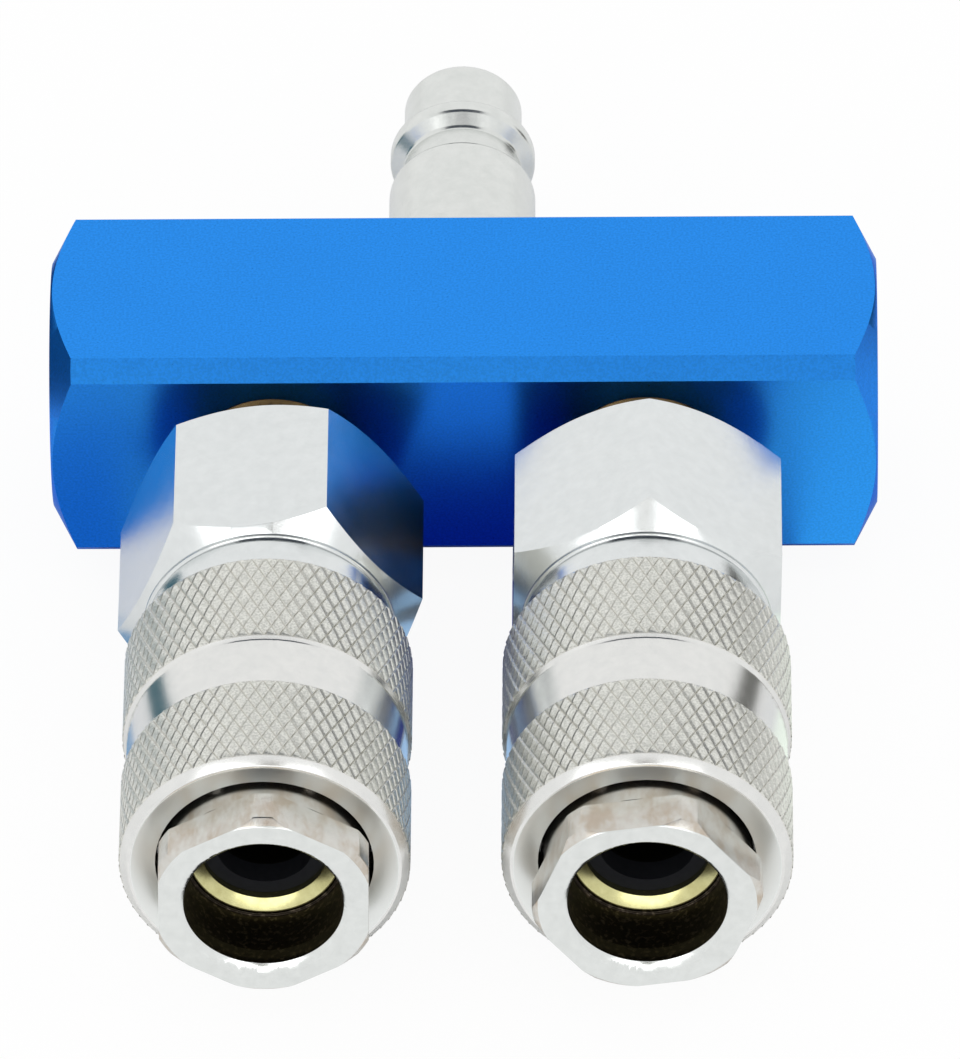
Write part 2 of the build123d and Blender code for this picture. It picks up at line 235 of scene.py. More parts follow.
class StageSizes(bpy.types.PropertyGroup):
    backdrop: bpy.props.FloatVectorProperty(
        name="Backdrop", description="Colour of the floor and the background", subtype="COLOR",
        size=3, default=(0.93, 0.93, 0.93))
    whiteness: bpy.props.FloatProperty(
        name="Whiteness", description="How far the floor is lifted to white in the camera's view",
        default=0.94, min=0, max=1)
    world_light: bpy.props.FloatProperty(
        name="World light", description="Strength of the light from all round", default=0.95, min=0)
    key_light: bpy.props.FloatProperty(
        name="Key light", description="Strength of the wide soft lamp in front", default=0.45, min=0)


# Hand tools for modelling

def select_only(piece):
    """Make the piece the active one and the only one selected."""
    bpy.ops.object.select_all(action="DESELECT")
    bpy.context.view_layer.objects.active = piece
    piece.select_set(True)


def to_edit_mode(piece):
    """Open the piece alone for editing, with nothing in it selected."""
    select_only(piece)
    bpy.ops.object.mode_set(mode="EDIT")
    bpy.ops.mesh.select_all(action="DESELECT")


def to_object_mode():
    """Leave editing and give back the edited piece."""
    bpy.ops.object.mode_set(mode="OBJECT")
    return bpy.context.object


def pick(kind, test):
    """Add to the selection the faces, edges or verts that pass a test."""
    bpy.ops.mesh.select_mode(type={"faces": "FACE", "edges": "EDGE", "verts": "VERT"}[kind])
    mesh = bmesh.from_edit_mesh(bpy.context.object.data)
    for element in getattr(mesh, kind):
        if test(element):
            element.select_set(True)
    mesh.select_flush_mode()
    bmesh.update_edit_mesh(bpy.context.object.data)


def apply_place(piece):
    """Put the piece's place into its mesh and leave its object at the origin."""
    select_only(piece)
    bpy.ops.object.transform_apply(location=True, rotation=True, scale=True)
    return piece


def apply_modifier(piece, kind, **settings):
    """Add a modifier, set it and apply it."""
    modifier = piece.modifiers.new(kind.lower(), kind)
    for name, value in settings.items():
        setattr(modifier, name, value)
    bpy.context.view_layer.objects.active = piece
    bpy.ops.object.modifier_apply(modifier=modifier.name)


def combine(piece, tool, operation):
    """Join the tool to the piece, cut it away or keep what both share. The tool is used up."""
    apply_modifier(piece, "BOOLEAN", operation=operation, solver="EXACT", object=tool)
    bpy.data.objects.remove(tool, do_unlink=True)
    return piece


def arc(centre, radius, start, end, steps):
    """Points (radius, height) on an arc, from one angle to another in degrees."""
    turns = [math.radians(start + (end - start) * step / steps) for step in range(steps + 1)]
    return [(centre[0] + radius * math.cos(t), centre[1] + radius * math.sin(t)) for t in turns]


def chain(name, stations):
    """Points (radius, height) drawn one after the other from a single vertex, open for editing."""
    bpy.ops.object.select_all(action="DESELECT")
    bpy.ops.mesh.primitive_plane_add(size=MM)
    bpy.context.object.name = name
    bpy.ops.object.mode_set(mode="EDIT")
    bpy.ops.mesh.select_mode(type="VERT")
    bpy.ops.mesh.select_all(action="SELECT")
    bpy.ops.mesh.merge(type="CENTER")
    bpy.ops.transform.translate(value=(stations[0][0], 0, stations[0][1]))
    for (radius, height), (next_radius, next_height) in zip(stations, stations[1:]):
        bpy.ops.mesh.extrude_verts_indiv()
        bpy.ops.transform.translate(value=(next_radius - radius, 0, next_height - height))
    bpy.ops.mesh.select_all(action="SELECT")
    bpy.ops.mesh.remove_doubles(threshold=MERGE_DISTANCE)


def turned(name, stations, steps=96):
    """A turned form: a chain of points (radius, height) spun about Z."""
    chain(name, stations)
    bpy.ops.mesh.select_all(action="SELECT")
    bpy.ops.mesh.spin(steps=steps, angle=FULL_TURN, center=(0, 0, 0), axis=(0, 0, 1))
    bpy.ops.mesh.select_all(action="SELECT")
    bpy.ops.mesh.remove_doubles(threshold=MERGE_DISTANCE)
    bpy.ops.mesh.normals_make_consistent(inside=False)
    return to_object_mode()


def rounded(stations, radius):
    """The same points (radius, height) with every corner between their ends rounded."""
    points, most, steps = [Vector(station) for station in stations], 0.4, 3
    result = [points[0]]
    for before, corner, after in zip(points, points[1:], points[2:]):
        into, out = before - corner, after - corner
        reach = min(radius, into.length * most, out.length * most)
        start, end = corner + into.normalized() * reach, corner + out.normalized() * reach
        for step in range(steps + 1):
            t = step / steps
            result.append(start * (1 - t) ** 2 + corner * 2 * t * (1 - t) + end * t ** 2)
    result.append(points[-1])
    return [tuple(point) for point in result]


def screw_thread(name, outer, depth, pitch, start, end, steps=48):
    """A closed helical ridge about Z whose root sinks a little into the core that it is joined to."""
    sunk, half_root, half_crest = 0.1 * MM, 0.46 * pitch, 0.06 * pitch
    root = outer - depth - sunk
    chain(name, [
        (root, start), (outer, start + half_root - half_crest), (outer, start + half_root + half_crest),
        (root, start + 2 * half_root), (root, start)])
    ridge = to_object_mode()
    turns = (end - start) / pitch - 1
    apply_modifier(
        ridge, "SCREW", axis="Z", screw_offset=pitch * turns, angle=FULL_TURN * turns,
        steps=round(steps * turns), render_steps=round(steps * turns), use_merge_vertices=False)
    to_edit_mode(ridge)
    bpy.ops.mesh.select_all(action="SELECT")
    bpy.ops.mesh.fill_holes(sides=8)
    bpy.ops.mesh.select_all(action="SELECT")
    bpy.ops.mesh.normals_make_consistent(inside=False)
    return to_object_mode()


def hexagon(name, across_flats, start, end, turn):
    """A hexagonal bar along Z, with a corner on X before it is turned."""
    bpy.ops.object.select_all(action="DESELECT")
    bpy.ops.mesh.primitive_cylinder_add(
        vertices=6, radius=across_flats / math.sqrt(3), depth=end - start,
        location=(0, 0, (start + end) / 2), rotation=(0, 0, math.pi / 6 + turn))
    piece = bpy.context.object
    piece.name = name
    return apply_place(piece)


def chamfered_hexagon(name, across_flats, start, end, turn, face_inset, angle):
    """A hexagonal bar whose corners are turned off by a cone at both ends."""
    reach = across_flats / math.sqrt(3)
    face = across_flats / 2 - face_inset
    drop = (reach - face) * math.tan(angle)
    cones = turned("cones", [
        (0, start), (face, start), (reach, start + drop), (reach, end - drop), (face, end), (0, end)],
        steps=120)
    return combine(hexagon(name, across_flats, start, end, turn), cones, "INTERSECT")


def soften(piece, width, segments=2):
    """Break every sharp edge lightly and shade the faces between as true flats and rounds."""
    apply_modifier(
        piece, "BEVEL", width=width, segments=segments, limit_method="ANGLE",
        angle_limit=BREAK_ANGLE, use_clamp_overlap=True, miter_outer="MITER_ARC")
    return shade(piece)


def smooth(piece, crisp_angle):
    """Smooth shading, with the edges that bend more than an angle left crisp."""
    select_only(piece)
    bpy.ops.object.shade_smooth_by_angle(angle=crisp_angle)


def shade(piece):
    """Smooth shading that keeps flats flat and the sharpest corners sharp."""
    smooth(piece, CRISP_ANGLE)
    apply_modifier(piece, "WEIGHTED_NORMAL", keep_sharp=True, weight=80)
    return piece


def put_on_coupler(piece, side):
    """Turn a piece modelled along Z so that it points forward from the bar, on a coupler's axis."""
    place = Matrix.Translation((coupler_x(side), bar_low.y, AXIS_HEIGHT))
    piece.matrix_world = place @ Matrix.Rotation(math.pi / 2, 4, "X")
    return apply_place(piece)


def put_on_inlet(piece):
    """Turn a piece modelled along Z so that it points back from the bar, on the inlet's axis."""
    place = Matrix.Translation((INLET_X, bar_high.y, AXIS_HEIGHT))
    piece.matrix_world = place @ Matrix.Rotation(-math.pi / 2, 4, "X")
    return apply_place(piece)


def put_along_bar(piece):
    """Turn a piece modelled along Z so that it runs along the bar from its left end."""
    place = Matrix.Translation((bar_low.x, 0, AXIS_HEIGHT))
    piece.matrix_world = place @ Matrix.Rotation(math.pi / 2, 4, "Y")
    return apply_place(piece)


def point_outward(tool, station, index, total):
    """Turn a form modelled along Z so that it points outward at a station, as one of several round Z."""
    tool.matrix_world = (
        Matrix.Translation((0, 0, station)) @ Matrix.Rotation(FULL_TURN * index / total, 4, "Z")
        @ Matrix.Rotation(math.pi / 2, 4, "Y"))
    return apply_place(tool)


def finish_piece(piece, body, slot, material, *nodes):
    """Give a piece its finish and its body, and hide the solids that it stands for."""
    piece.data.materials.clear()
    piece.data.materials.append(material)
    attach(piece, body)
    if nodes:
        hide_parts(*nodes)
    return piece


def finish_node(node, material):
    """Give a solid that stays as it is its finish."""
    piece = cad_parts[node]
    piece.data.materials.clear()
    piece.data.materials.append(material)


# Shader maths

def reckoning(operation, swapped=False):
    """A method that puts a shader value and another through a Math node."""
    def method(self, other):
        values = (other, self) if swapped else (self, other)
        return self.finish.add("ShaderNodeMath", {"operation": operation}, dict(enumerate(values)))
    return method


class Socket:
    """A shader value or colour that adds its Math nodes when it is reckoned with."""

    def __init__(self, finish, socket):
        self.finish = finish
        self.socket = socket

    __add__, __radd__ = reckoning("ADD"), reckoning("ADD", swapped=True)
    __rsub__, __mul__ = reckoning("SUBTRACT", swapped=True), reckoning("MULTIPLY")
    __pow__, __gt__, __lt__ = reckoning("POWER"), reckoning("GREATER_THAN"), reckoning("LESS_THAN")

    def put_through(self, operation):
        """The result of a Math node that takes one value."""
        return self.finish.add("ShaderNodeMath", {"operation": operation}, {0: self})


class Finish:
    """A material under construction, whose node sockets are fed with values or links."""

    def __init__(self, title, **constants):
        self.material = bpy.data.materials.new(title)
        self.material.use_nodes = True
        self.tree = self.material.node_tree
        self.surface = self.tree.nodes["Principled BSDF"]
        for socket, value in constants.items():
            name = socket.replace("_", " ").title().replace("Ior", "IOR")
            self.surface.inputs[name].default_value = value

    def add(self, kind, settings=None, inputs=None, output=0):
        """Add a node, set it, then feed its sockets with values or links."""
        node = self.tree.nodes.new(kind)
        for name, value in (settings or {}).items():
            setattr(node, name, value)
        for name, value in (inputs or {}).items():
            self.feed(node.inputs[name], value)
        return Socket(self, node.outputs[output])

    def feed(self, socket, value):
        """Link a socket or set its value."""
        if isinstance(value, Socket):
            self.tree.links.new(value.socket, socket)
        else:
            socket.default_value = value

    def drive(self, name, value):
        """Feed one of the surface's own sockets."""
        self.feed(self.surface.inputs[name], value)

    def place(self, centre=(0, 0, 0), stretch=(1, 1, 1)):
        """The point on the object, from a centre, stretched along each axis."""
        position = self.add("ShaderNodeTexCoord", output=3)
        moved = self.add("ShaderNodeMapping", {}, {
            "Vector": position, "Location": [-c * s for c, s in zip(centre, stretch)], "Scale": stretch})
        return moved

    def axes(self, vector):
        """The three parts of a vector."""
        return [self.add("ShaderNodeSeparateXYZ", {}, {"Vector": vector}, output=i) for i in range(3)]

    def noise(self, vector, scale, detail=2, roughness=0.5):
        """Smooth noise from 0 to 1."""
        return self.add("ShaderNodeTexNoise", {}, {
            "Vector": vector, "Scale": scale, "Detail": detail, "Roughness": roughness})

    def rise(self, value, low, high):
        """A smooth rise from 0 to 1 as the value goes from low to high."""
        return self.add("ShaderNodeMapRange", {"interpolation_type": "SMOOTHSTEP"}, {
            "Value": value, "From Min": low, "From Max": high})

    def mix(self, share, first, second):
        """A colour between two others."""
        colours = [c if isinstance(c, Socket) else (*c, 1) for c in (first, second)]
        return self.add("ShaderNodeMix", {"data_type": "RGBA"}, {
            0: share, 6: colours[0], 7: colours[1]}, output=2)

    def bump(self, height, distance, strength=1.0, normal=None):
        """A normal that follows a height in metres times the distance."""
        inputs = {"Height": height, "Distance": distance, "Strength": strength}
        if normal is not None:
            inputs["Normal"] = normal
        return self.add("ShaderNodeBump", {}, inputs)


def anodised_blue(colour):
    """Satin blue anodising: fine grain, faint lines along the bar and turning rings on its ends."""
    finish = Finish("anodised_blue", metallic=1.0, coat_roughness=0.3, specular_tint=(0.1, 0.35, 0.8, 1))
    grain = finish.noise(finish.place(), scale=5200, detail=3)
    cloud = finish.noise(finish.place(), scale=160)
    lines = finish.noise(finish.place(stretch=(0.02, 1, 1)), scale=9000)
    deep = [c * 0.9 for c in colour]
    bright = [min(1, c * 1.08) for c in colour]
    blend = finish.rise(grain * 0.92 + cloud * 0.08, low=0.35, high=0.65)
    finish.drive("Base Color", finish.mix(blend, deep, bright))
    finish.drive("Roughness", 0.24 + grain * 0.12)
    finish.drive("Coat Weight", 0.22 + grain * 0.1)
    x, y, z = finish.axes(finish.place(centre=(0, 0, AXIS_HEIGHT)))
    radius = (y * y + z * z) ** 0.5
    ring_pitch, cone_length = 0.16 * MM, 3.4 * MM
    ring = (radius * (FULL_TURN / ring_pitch)).put_through("SINE")
    at_end = x.put_through("ABSOLUTE") > bar_high.x - cone_length
    grainy = finish.bump(grain * 0.6 + lines * 0.4, distance=0.004 * MM)
    finish.drive("Normal", finish.bump(ring * at_end, distance=0.0012 * MM, normal=grainy))
    return finish.material


class TurnedMetal(Finish):
    """Bare or plated metal with faint stains, fine scratches and the marks of turning about its axis."""

    def __init__(self, name, centre, dull, bright, roughness, rings=0.0):
        super().__init__(name, metallic=1.0)
        self.rings = rings
        self.spot = self.noise(self.place(), scale=900, detail=4, roughness=0.6)
        self.stain = self.noise(self.place(), scale=210, detail=3)
        x, self.along, z = self.axes(self.place(centre=centre))
        self.radius = (x * x + z * z) ** 0.5
        blend = self.rise(self.spot * 0.75 + self.stain * 0.25, low=0.2, high=0.8)
        self.colour = self.mix(blend, dull, bright)
        self.rough = roughness - 0.05 + self.stain * 0.1

    def cover(self, mask, colour, roughness):
        """Lay another surface over the metal where the mask is 1."""
        self.colour = self.mix(mask, self.colour, colour)
        self.rough = self.rough * (1 - mask) + mask * roughness

    def finished(self):
        """The material, once everything is laid over it."""
        self.drive("Base Color", self.colour)
        self.drive("Roughness", self.rough)
        scratch = self.noise(self.place(stretch=(1, 0.06, 1)), scale=5200, detail=2)
        surface = self.bump(self.spot * 0.5 + scratch * 0.5, distance=0.003 * MM)
        if self.rings:
            ring_pitch = 0.11 * MM
            wave = ((self.along + self.radius) * (FULL_TURN / ring_pitch)).put_through("SINE")
            surface = self.bump(wave, self.rings, normal=surface)
        self.drive("Normal", surface)
        return self.material


def coupler_centre(side):
    """The point where a coupler's axis meets the bar's front face."""
    return coupler_x(side), bar_low.y, AXIS_HEIGHT


def nickel_adapter(side, sizes):
    """Cool bright nickel of the hexagonal adapters, with the threads by the bar in dark bronze: a bronze
    thread colour, darkened as painted shade of the gap.
    """
    finish = TurnedMetal(
        f"nickel_adapter_{side}", coupler_centre(side), (0.7, 0.725, 0.725), (0.765, 0.79, 0.79),
        roughness=0.19, rings=0.0006 * MM)
    # Painted shade: the thread that shows in the gap between bar and hexagon is laid over in dark bronze,
    # partly its bronze colour and partly the gap's shade.
    shaded_thread = (0 - finish.along < sizes.gap - MARGIN) * (finish.radius < sizes.thread / 2 + 2 * MARGIN)
    finish.cover(shaded_thread, (0.15, 0.1, 0.045), roughness=0.3)
    return finish.finished()


def nickel_plug():
    """Softer nickel of the inlet plug."""
    return TurnedMetal(
        "nickel_plug", (INLET_X, bar_high.y, AXIS_HEIGHT), (0.67, 0.69, 0.67), (0.75, 0.765, 0.745),
        roughness=0.22, rings=0.0008 * MM).finished()


def nickel_sleeve(side, sizes):
    """Warm nickel of the sleeves, dull and specked on the knurled bands, with painted shade in the grooves.
    """
    finish = TurnedMetal(
        f"nickel_sleeve_{side}", coupler_centre(side), (0.72, 0.725, 0.71), (0.79, 0.79, 0.77), roughness=0.2)
    rear, front = forward(f"{side}_sleeve")
    top = radius_of(f"{side}_sleeve")
    place, shallow = 0 - finish.along, 0.06 * MM
    rear_band = (place > rear + MARGIN) * (place < rear + sizes.rear_band + MARGIN)
    waist_end = rear + sizes.rear_band + sizes.waist_width
    front_band = (place > waist_end - MARGIN) * (place < front - sizes.front_chamfer + MARGIN)
    knurled = (rear_band + front_band) * (finish.radius > top - sizes.knurl_depth - shallow)
    speck = finish.noise(finish.place(), scale=5600, detail=3, roughness=0.6)
    pad = finish.mix(finish.rise(speck, low=0.36, high=0.64), (0.6, 0.605, 0.56), (0.84, 0.84, 0.79))
    # Painted shade: the knurl's grooves turn a darker colour the deeper they sink below the crowns.
    sunk = finish.rise(top - finish.radius, low=shallow, high=sizes.knurl_depth)
    finish.cover(knurled, finish.mix(sunk, pad, (0.66, 0.65, 0.6)), roughness=0.42)
    dish = sizes.hole / 2 + sizes.dish_width + MARGIN / 2
    on_dish = (place > front - sizes.dish_depth - MARGIN) * (finish.radius < dish)
    finish.cover(on_dish, (0.8, 0.82, 0.805), roughness=0.38)
    return finish.finished()


def nickel_body(side, sizes):
    """Bright nickel of the coupler bodies, with painted shade, dark and speckled, on the wall of the mouth,
    and brown blotches with painted shade on the flanks.
    """
    finish = TurnedMetal(
        f"nickel_body_{side}", coupler_centre(side), (0.68, 0.7, 0.685), (0.765, 0.785, 0.77),
        roughness=0.19, rings=0.0006 * MM)
    front = forward(f"{side}_coupler_body")[1]
    place, wall_margin, edge_margin = 0 - finish.along, 0.08 * MM, 0.12 * MM
    # Painted shade: the wall of the mouth is laid over in dark, speckled brown, as the shade inside the bore.
    mouth_shade_mask = (finish.radius < sizes.mouth / 2 + wall_margin) * (place < front - sizes.mouth_chamfer)
    speck = finish.noise(finish.place(), scale=2600, detail=3)
    mouth_shade = finish.mix(finish.rise(speck, low=0.5, high=0.72), (0.06, 0.05, 0.038), (0.24, 0.2, 0.15))
    finish.cover(mouth_shade_mask, mouth_shade, roughness=0.36)
    # Partly stain and partly painted shade: the tube and the nose's flats are laid over in brown, in
    # blotches, and at least about a third of the way everywhere, so that they stay darker than the front
    # face.
    flank_stain_and_shade = (finish.radius > sizes.diameter / 2 - MARGIN) * (place < front - edge_margin)
    blot = finish.rise(finish.noise(
        finish.place(stretch=(1, 0.5, 1)), scale=520, detail=3, roughness=0.65), low=0.36, high=0.7)
    finish.cover(flank_stain_and_shade * (0.35 + blot * 0.65), (0.52, 0.45, 0.37), roughness=0.26)
    return finish.finished()


def turned_brass(side, sizes):
    """Bright turned brass, with painted shade, near black, inside the air way."""
    finish = TurnedMetal(
        f"turned_brass_{side}", coupler_centre(side), (0.5, 0.465, 0.21), (0.68, 0.655, 0.34), roughness=0.2)
    # Painted shade: the wall of the air way is laid over in near black.
    finish.cover(finish.radius < sizes.bore / 2 + MARGIN, (0.016, 0.014, 0.01), roughness=0.6)
    return finish.finished()


def black_rubber():
    """Matt black seal rubber."""
    finish = Finish("black_rubber", metallic=0.0, specular_ior_level=0.2)
    speck = finish.noise(finish.place(), scale=2600, detail=3)
    finish.drive("Base Color", finish.mix(speck, (0.006, 0.007, 0.01), (0.018, 0.019, 0.024)))
    finish.drive("Roughness", 0.5 + speck * 0.25)
    finish.drive("Normal", finish.bump(speck, distance=0.004 * MM))
    return finish.material


def plain_steel(name, colour, roughness):
    """Bare steel with fine drawing marks."""
    finish = Finish(name, metallic=1.0)
    speck = finish.noise(finish.place(), scale=3000, detail=3)
    finish.drive("Base Color", finish.mix(speck, [c * 0.82 for c in colour], colour))
    finish.drive("Roughness", roughness - 0.05 + speck * 0.1)
    finish.drive("Normal", finish.bump(speck, distance=0.002 * MM))
    return finish.material


def backdrop_paint(colour, whiteness):
    """Even pale floor with a soft shadow, lifted towards white where the camera looks at it directly."""
    finish = Finish("backdrop", metallic=0.0, roughness=0.9, specular_ior_level=0.0)
    drift = finish.noise(finish.place(), scale=6)
    finish.drive("Base Color", finish.mix(drift, [c * 0.985 for c in colour], colour))
    seen = finish.add("ShaderNodeLightPath") * whiteness
    glow = finish.add("ShaderNodeEmission", {}, {"Color": (1, 1, 1, 1), "Strength": 1.0})
    paint = Socket(finish, finish.surface.outputs[0])
    lifted = finish.add("ShaderNodeMixShader", {}, {0: seen, 1: paint, 2: glow})
    finish.feed(finish.tree.nodes["Material Output"].inputs["Surface"], lifted)
    return finish.material


# Pieces

class PairOperator:
    """Models a piece once for each coupler, with the sizes of the group that it names."""

    def execute(self, context):
        for side in SIDES:
            self.model(getattr(context.scene, self.size_group), side)
        return {"FINISHED"}


class DISTRIBUTOR_OT_bar(bpy.types.Operator):
    """Model the anodised bar with its turned ends, ports and air ways"""
    bl_idname = "distributor.bar"
    bl_label = "Bar"

    def execute(self, context):
        sizes = context.scene.bar_sizes
        size = bar_high - bar_low
        bpy.ops.object.select_all(action="DESELECT")
        bpy.ops.mesh.primitive_cube_add(size=1, location=(bar_low + bar_high) / 2, scale=size)
        bar = apply_place(bpy.context.object)
        bar.name = "anodised_bar"
        to_edit_mode(bar)
        pick("edges", lambda edge: abs(edge.verts[0].co.x - edge.verts[1].co.x) > size.x / 2)
        bpy.ops.mesh.bevel(offset=sizes.edge_bevel, offset_type="OFFSET", segments=1, affect="EDGES")
        to_object_mode()

        flat, reach = sizes.end_flat / 2, size.y
        drop = (reach - flat) * math.tan(sizes.cone_angle)
        cones = put_along_bar(turned("end_cones", [
            (0, 0), (flat, 0), (reach, drop), (reach, size.x - drop), (flat, size.x), (0, size.x)],
            steps=192))
        combine(bar, cones, "INTERSECT")

        port, passage, lead_in = sizes.port / 2, sizes.passage / 2, 0.4 * MM
        port_stations = [
            (0, PAST), (port + lead_in + PAST, PAST), (port, -lead_in), (port, -sizes.port_depth),
            (passage, -sizes.port_depth), (passage, -size.y / 2), (0, -size.y / 2)]
        for side in SIDES:
            combine(bar, put_on_coupler(turned("port", port_stations), side), "DIFFERENCE")
        combine(bar, put_on_inlet(turned("port", port_stations)), "DIFFERENCE")

        gallery, plug = sizes.gallery / 2, sizes.plug / 2
        plug_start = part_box("gallery_plug")[0].x - bar_low.x
        beyond_port, plug_lead_in = 1.5 * MM, 0.3 * MM
        gallery_start = coupler_x("left") - bar_low.x - gallery - beyond_port
        combine(bar, put_along_bar(turned("gallery", [
            (0, gallery_start), (gallery, gallery_start), (gallery, plug_start), (plug, plug_start),
            (plug, size.x - plug_lead_in), (plug + plug_lead_in + PAST, size.x + PAST),
            (0, size.x + PAST)])), "DIFFERENCE")
        soften(bar, sizes.softening)
        finish_piece(bar, "distributor", "anodised_bar", anodised_blue(list(sizes.blue)), "manifold_bar")
        return {"FINISHED"}


class DISTRIBUTOR_OT_gallery_plug(bpy.types.Operator):
    """Model the set screw that closes the end of the bar's long bore"""
    bl_idname = "distributor.gallery_plug"
    bl_label = "Gallery plug"

    def execute(self, context):
        sizes = context.scene.bar_sizes
        low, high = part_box("gallery_plug")
        start, end = low.x - bar_low.x, high.x - bar_low.x
        radius, key_depth = (high.z - low.z) / 2, 3.2 * MM
        inner_chamfer, outer_chamfer, lead_in = 0.6 * MM, 0.5 * MM, 0.2 * MM
        plug = turned("set_screw", rounded([
            (0, start), (radius - inner_chamfer, start), (radius, start + inner_chamfer),
            (radius, end - outer_chamfer), (radius - outer_chamfer, end), (0, end)], radius=0.1 * MM))
        combine(plug, hexagon("key", sizes.plug_key, end - key_depth, end + PAST, turn=0), "DIFFERENCE")
        corner = sizes.plug_key / math.sqrt(3)
        combine(plug, turned("key_lead", [
            (0, end + PAST), (corner + PAST, end + PAST), (corner - lead_in, end - lead_in),
            (0, end - lead_in)], steps=72), "DIFFERENCE")
        put_along_bar(plug)
        shade(plug)
        steel = plain_steel("plug_steel", (0.62, 0.62, 0.64), roughness=0.3)
        finish_piece(plug, "distributor", "plug_steel", steel, "gallery_plug")
        return {"FINISHED"}


class DISTRIBUTOR_OT_inlet_plug(bpy.types.Operator):
    """Model the plug at the back that the supply hose's coupling clicks onto"""
    bl_idname = "distributor.inlet_plug"
    bl_label = "Inlet plug"

    def execute(self, context):
        sizes = context.scene.plug_sizes
        end = plug_high.y - bar_high.y
        stub_end = plug_low.y - bar_high.y
        neck, crest, shoulder = sizes.neck / 2, sizes.crest / 2, sizes.shoulder / 2
        shoulder_end = sizes.hexagon_length + sizes.shoulder_length
        neck_end = shoulder_end + sizes.neck_length
        crest_rear = neck_end + sizes.crest_taper
        crest_front = crest_rear + sizes.crest_width
        bore, stub, stub_chamfer, seat = sizes.bore / 2, 6.5 * MM, 0.6 * MM, 0.4 * MM
        past_hexagon, shoulder_round, fillet, fillet_end = 0.5 * MM, 1.1 * MM, 0.02 * MM, 0.06 * MM
        tip_taper, tip_cone, mouth_chamfer = sizes.tip_length * 0.1, 0.35 * MM, 0.3 * MM
        plug = turned("quick_plug", rounded([
            (bore, stub_end), (stub - stub_chamfer, stub_end), (stub, stub_end + stub_chamfer),
            (stub, 0), (shoulder, seat), (shoulder, sizes.hexagon_length + past_hexagon)],
            radius=0.05 * MM) + arc(
            (shoulder - shoulder_round, shoulder_end - shoulder_round), shoulder_round,
            start=0, end=90, steps=8) + rounded([
            (neck + fillet, shoulder_end), (neck, shoulder_end + fillet_end), (neck, neck_end),
            (crest, crest_rear), (crest, crest_front), (neck, crest_front), (neck, end - tip_taper),
            (neck - tip_cone, end), (bore + mouth_chamfer, end), (bore, end - mouth_chamfer),
            (bore, stub_end)], radius=0.22 * MM), steps=112)
        hexagonal = chamfered_hexagon(
            "plug_hexagon", sizes.hexagon, 0, sizes.hexagon_length, turn=0, face_inset=0.15 * MM,
            angle=math.radians(38.5))
        in_plug, beyond = bore + PAST, sizes.hexagon_length + PAST
        hollow = turned("bore", [(0, -PAST), (in_plug, -PAST), (in_plug, beyond), (0, beyond)])
        combine(hexagonal, hollow, "DIFFERENCE")
        combine(plug, hexagonal, "UNION")
        put_on_inlet(plug)
        shade(plug)
        finish_piece(plug, "distributor", "nickel_plug", nickel_plug(), "inlet_plug")
        return {"FINISHED"}


class DISTRIBUTOR_OT_adapters(PairOperator, bpy.types.Operator):
    """Model the two hexagonal adapters with their pipe threads, necks and sockets"""
    bl_idname = "distributor.adapters"
    bl_label = "Adapters"
    size_group = "adapter_sizes"

    def model(self, sizes, side):
        """One adapter, turned by its side's own angle."""
        start, end = sizes.gap, sizes.gap + sizes.hexagon_length
        stub_end = forward(f"{side}_adapter")[0]
        thread, neck, socket, bore = sizes.thread / 2, sizes.neck / 2, sizes.socket / 2, 3.6 * MM
        thread_depth, tip_width, tip_length = 0.75 * MM, 0.3 * MM, 0.5 * MM
        core, waist, waist_end, neck_start = thread - thread_depth, neck - 0.25 * MM, 0.35 * MM, 0.6 * MM
        piece = turned(f"{side}_hexagon_adapter", rounded([
            (bore, stub_end), (core - tip_width, stub_end), (core, stub_end + tip_length),
            (core, start + PAST), (core, end - PAST), (waist, end - PAST), (waist, end + waist_end),
            (neck, end + neck_start), (neck, sizes.neck_end), (socket, sizes.neck_end),
            (socket, sizes.socket_floor), (bore, sizes.socket_floor), (bore, stub_end)],
            radius=0.12 * MM), steps=112)
        hexagonal = chamfered_hexagon(
            "hexagon", sizes.hexagon, start, end, HEXAGON_TURNS[side], sizes.face_inset, sizes.chamfer_angle)
        soften(hexagonal, width=0.16 * MM)
        in_core, in_neck, floor = core - 0.4 * MM, socket + 0.3 * MM, sizes.socket_floor - PAST
        hollow = turned("hollow", [
            (0, start - PAST), (in_core, start - PAST), (in_core, floor), (in_neck, floor),
            (in_neck, end + PAST), (0, end + PAST)])
        combine(hexagonal, hollow, "DIFFERENCE")
        combine(piece, hexagonal, "UNION")
        combine(piece, screw_thread(
            "thread", thread, thread_depth, sizes.thread_pitch, start=stub_end + 0.4 * MM,
            end=start + 0.9 * MM), "UNION")
        put_on_coupler(piece, side)
        shade(piece)
        finish_piece(piece, "distributor", "nickel_adapter", nickel_adapter(side, sizes), f"{side}_adapter")


